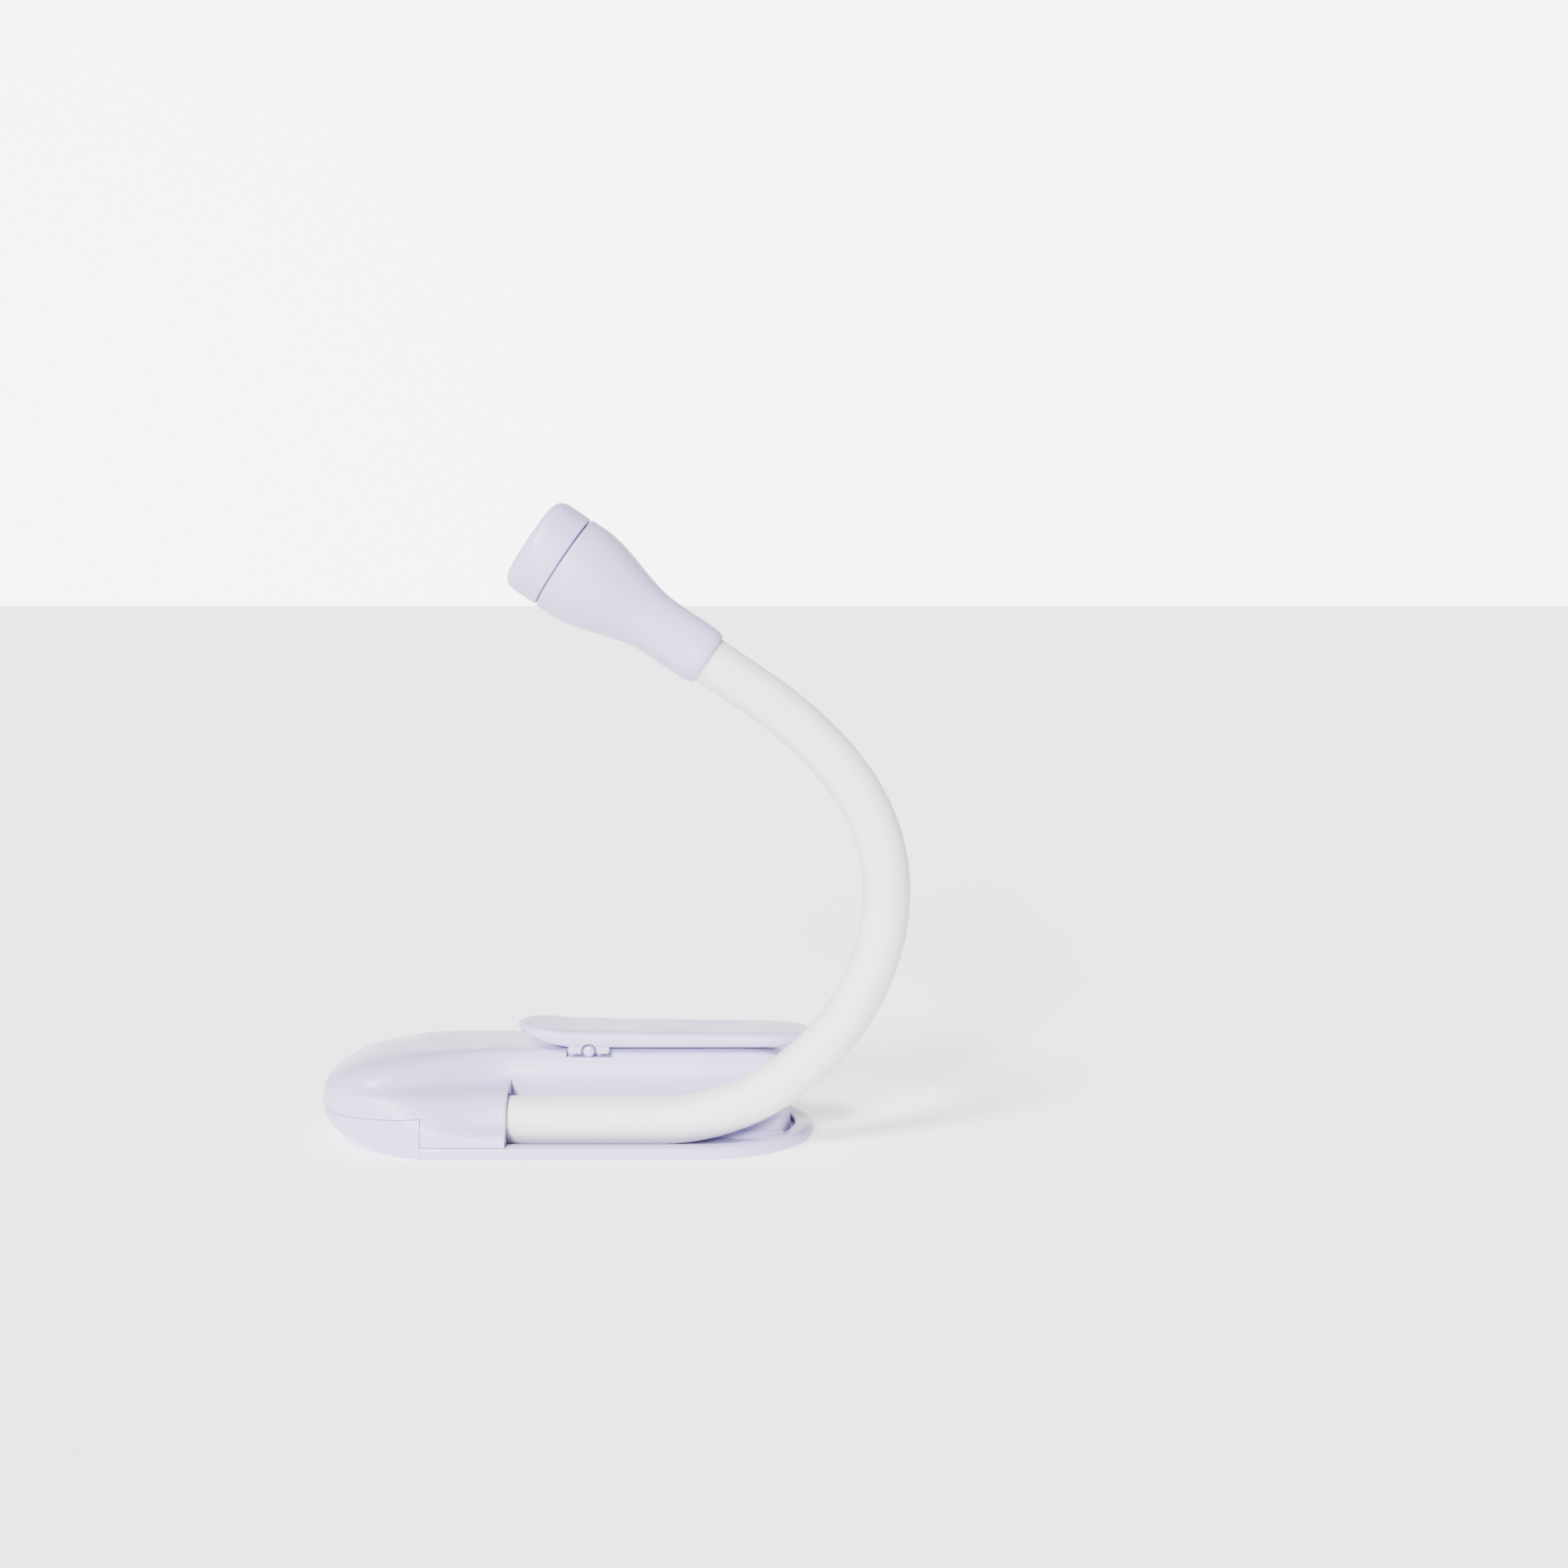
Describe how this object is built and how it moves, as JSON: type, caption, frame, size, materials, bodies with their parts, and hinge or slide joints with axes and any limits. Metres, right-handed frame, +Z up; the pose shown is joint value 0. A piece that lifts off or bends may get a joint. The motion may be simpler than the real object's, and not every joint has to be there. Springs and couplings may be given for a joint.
{
  "type": "clip-on reading lamp",
  "caption": "Small battery reading lamp with a pebble-shaped clip base, a bendable sleeved neck and a bell-shaped lamp head.",
  "frame": {"origin": "centre of the flat underside of the base", "axes": "+Z up out of the base, +X along the base from the battery end to the jaw end of the clip, -Y towards the long side that the neck leaves by"},
  "size_m": [0.1024, 0.0414, 0.1106],
  "materials": {
    "body_plastic": "satin",
    "sleeve_silicone": "matte",
    "pad_silicone": "matte",
    "spring_steel": "satin",
    "plated_steel": "satin",
    "cell_case": "satin",
    "board_laminate": "gloss",
    "component_black": "matte",
    "resistor_body": "gloss",
    "lead_insulation": "satin",
    "head_board_white": "matte",
    "led_phosphor": "gloss",
    "reflector_chrome": "polished",
    "lens_clear": "clear"
  },
  "bodies": {
    "base": {"base_plate": "body_plastic", "pod_shell": "body_plastic", "shell_screws": "plated_steel", "coin_cell_lower": "cell_case", "coin_cell_upper": "cell_case", "cell_contact_side": "spring_steel", "cell_contact_top": "spring_steel", "circuit_board": "board_laminate", "switch_housing": "plated_steel", "driver_chip": "component_black", "resistor": "resistor_body", "power_leads": "lead_insulation", "neck_clamp": "plated_steel", "hinge_pin": "body_plastic", "torsion_spring": "spring_steel", "neck_sleeve_0": "sleeve_silicone", "neck_core_0": "plated_steel"},
    "clip": {"clip_lever": "body_plastic", "jaw_pad": "pad_silicone"},
    "door": {"battery_door": "body_plastic"},
    "switch": {"switch_knob": "body_plastic"},
    "link_1": {"neck_sleeve_1": "sleeve_silicone", "neck_core_1": "plated_steel"},
    "link_2": {"neck_sleeve_2": "sleeve_silicone", "neck_core_2": "plated_steel"},
    "link_3": {"neck_sleeve_3": "sleeve_silicone", "neck_core_3": "plated_steel"},
    "link_4": {"neck_sleeve_4": "sleeve_silicone", "neck_core_4": "plated_steel"},
    "link_5": {"neck_sleeve_5": "sleeve_silicone", "neck_core_5": "plated_steel"},
    "link_6": {"neck_sleeve_6": "sleeve_silicone", "neck_core_6": "plated_steel"},
    "link_7": {"neck_sleeve_7": "sleeve_silicone", "neck_core_7": "plated_steel"},
    "link_8": {"neck_sleeve_8": "sleeve_silicone", "neck_core_8": "plated_steel"},
    "link_9": {"neck_sleeve_9": "sleeve_silicone", "neck_core_9": "plated_steel"},
    "link_10": {"neck_sleeve_10": "sleeve_silicone", "neck_core_10": "plated_steel"},
    "link_11": {"neck_sleeve_11": "sleeve_silicone", "neck_core_11": "plated_steel"},
    "head": {"neck_sleeve_12": "sleeve_silicone", "neck_core_12": "plated_steel", "head_ferrule": "plated_steel", "head_shell": "body_plastic", "head_board": "head_board_white", "head_led": "led_phosphor", "head_reflector": "reflector_chrome", "head_lens": "lens_clear", "head_bezel": "body_plastic"}
  },
  "joints": [
    {"name": "clip_hinge", "type": "hinge", "parent": "base", "child": "clip", "pos_m": [0.004, 0, 0.0159], "axis": [0, -1, 0], "range_deg": [0, 9.5], "stiffness_Nm_per_rad": 0.05, "springref_deg": -20.05, "deforming": ["torsion_spring"]},
    {"name": "door_slide", "type": "slide", "parent": "base", "child": "door", "axis": [-0.9994, 0, -0.0349], "range_m": [0, 0.022]},
    {"name": "switch_slide", "type": "slide", "parent": "base", "child": "switch", "axis": [1, 0, 0], "range_m": [0, 0.003]},
    {"name": "neck_1", "type": "hinge", "parent": "base", "child": "link_1", "pos_m": [0.017, -0.012, 0.0052], "axis": [0, -1, 0], "range_deg": [0, 6]},
    {"name": "neck_2", "type": "hinge", "parent": "link_1", "child": "link_2", "pos_m": [0.02628, -0.012, 0.0065], "axis": [0, -1, 0], "range_deg": [-8, 5]},
    {"name": "neck_3", "type": "hinge", "parent": "link_2", "child": "link_3", "pos_m": [0.03487, -0.012, 0.01024], "axis": [0, -1, 0], "range_deg": [-12, 5]},
    {"name": "neck_4", "type": "hinge", "parent": "link_3", "child": "link_4", "pos_m": [0.04237, -0.012, 0.01589], "axis": [-0.682, 0, 0.7314], "range_deg": [-14, 14]},
    {"name": "neck_5", "type": "hinge", "parent": "link_4", "child": "link_5", "pos_m": [0.04846, -0.012, 0.02302], "axis": [0, -1, 0], "range_deg": [-16, 5]},
    {"name": "neck_6", "type": "hinge", "parent": "link_5", "child": "link_6", "pos_m": [0.05279, -0.012, 0.03134], "axis": [0, -1, 0], "range_deg": [-16, 5]},
    {"name": "neck_7", "type": "hinge", "parent": "link_6", "child": "link_7", "pos_m": [0.05506, -0.012, 0.04044], "axis": [-0.9925, 0, 0.1219], "range_deg": [-14, 14]},
    {"name": "neck_8", "type": "hinge", "parent": "link_7", "child": "link_8", "pos_m": [0.05489, -0.012, 0.04981], "axis": [0, -1, 0], "range_deg": [-16, 5]},
    {"name": "neck_9", "type": "hinge", "parent": "link_8", "child": "link_9", "pos_m": [0.05208, -0.012, 0.05874], "axis": [0, -1, 0], "range_deg": [-16, 5]},
    {"name": "neck_10", "type": "hinge", "parent": "link_9", "child": "link_10", "pos_m": [0.04697, -0.012, 0.0666], "axis": [-0.766, 0, -0.6428], "range_deg": [-14, 14]},
    {"name": "neck_11", "type": "hinge", "parent": "link_10", "child": "link_11", "pos_m": [0.04039, -0.012, 0.0733], "axis": [0, -1, 0], "range_deg": [-16, 5]},
    {"name": "neck_12", "type": "hinge", "parent": "link_11", "child": "head", "pos_m": [0.03294, -0.012, 0.07902], "axis": [-0.5592, 0, -0.829], "range_deg": [-14, 14]}
  ]
}
